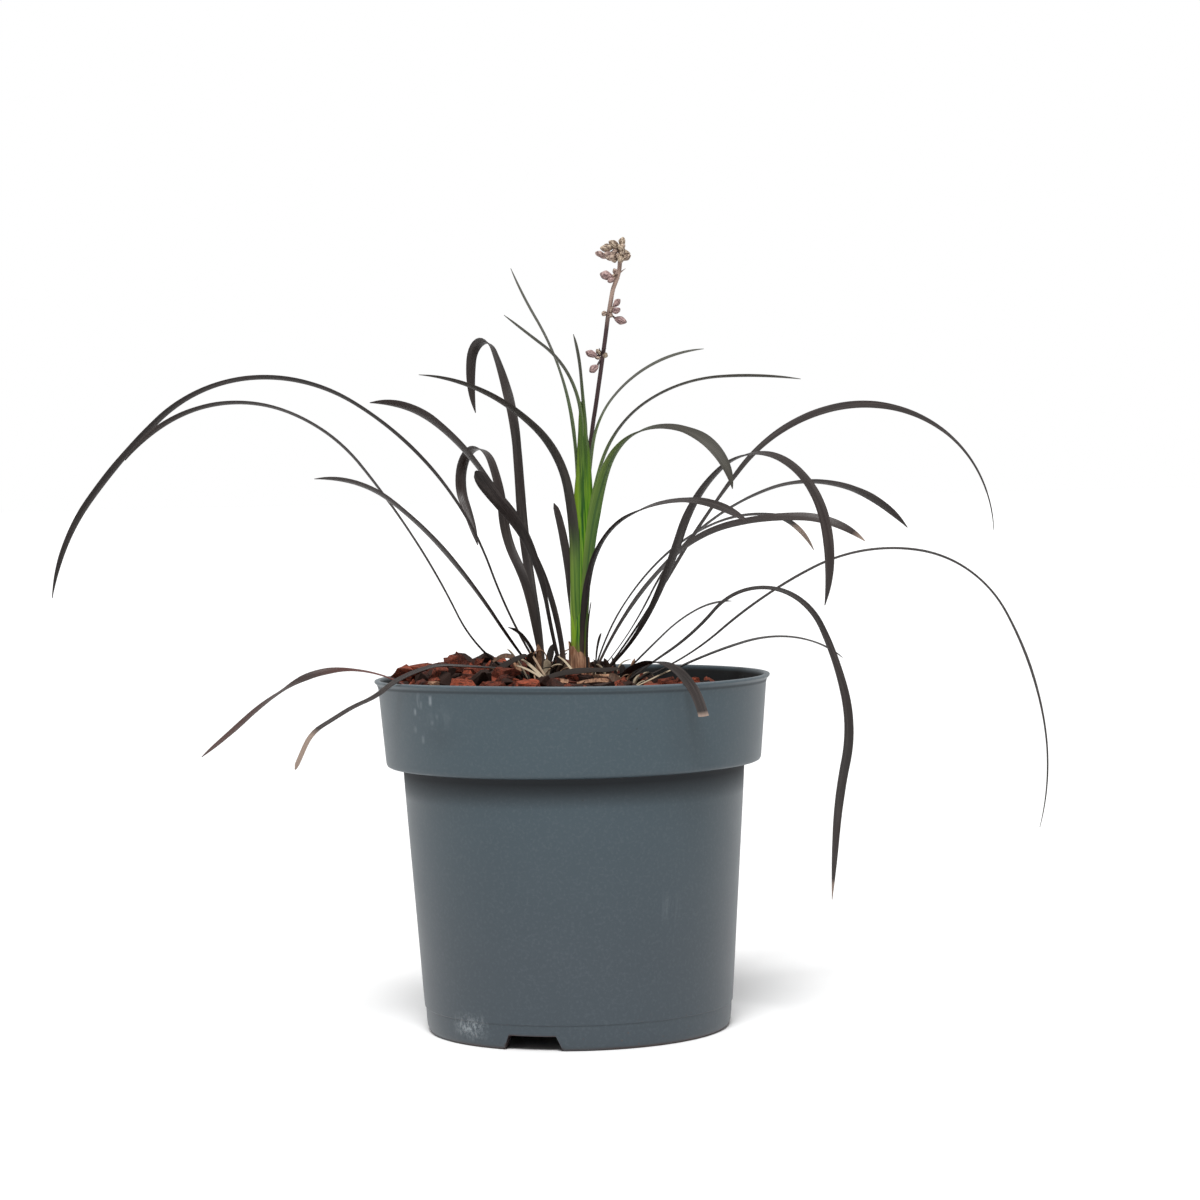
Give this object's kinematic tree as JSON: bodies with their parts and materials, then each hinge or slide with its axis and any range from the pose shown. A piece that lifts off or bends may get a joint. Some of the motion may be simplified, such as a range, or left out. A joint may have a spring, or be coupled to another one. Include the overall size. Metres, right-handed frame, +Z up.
{
  "type": "potted black mondo grass",
  "caption": "Black mondo grass with strap leaves, a young green shoot and a flower spike, growing in a plain round plastic nursery pot.",
  "frame": {"origin": "centre of the pot's foot, on the surface that it stands on", "axes": "+Z up along the pot's axis, +X along the longest leaves, -Y towards the side that shows in the picture"},
  "size_m": [0.3625, 0.1707, 0.2838],
  "materials": {
    "pot": "satin slate grey, lightly scuffed",
    "soil": "damp peaty soil",
    "bark": "rough red-brown bark",
    "leaf": "purple-black, softly glossy",
    "green_leaf": "fresh green fading to purple-black",
    "sheath": "dry and papery",
    "spike": "dark purple stem with mauve and straw buds",
    "dead_leaf": "dry and dull"
  },
  "bodies": {
    "root": {"pot": "pot", "root_ball": "soil", "bark_mulch": "bark", "left_tuft": "leaf", "right_tuft": "leaf", "middle_shoot": "green_leaf", "papery_sheath": "sheath", "flower_spike": "spike", "loose_leaf": "leaf", "dead_leaf": "dead_leaf"}
  },
  "joints": []
}
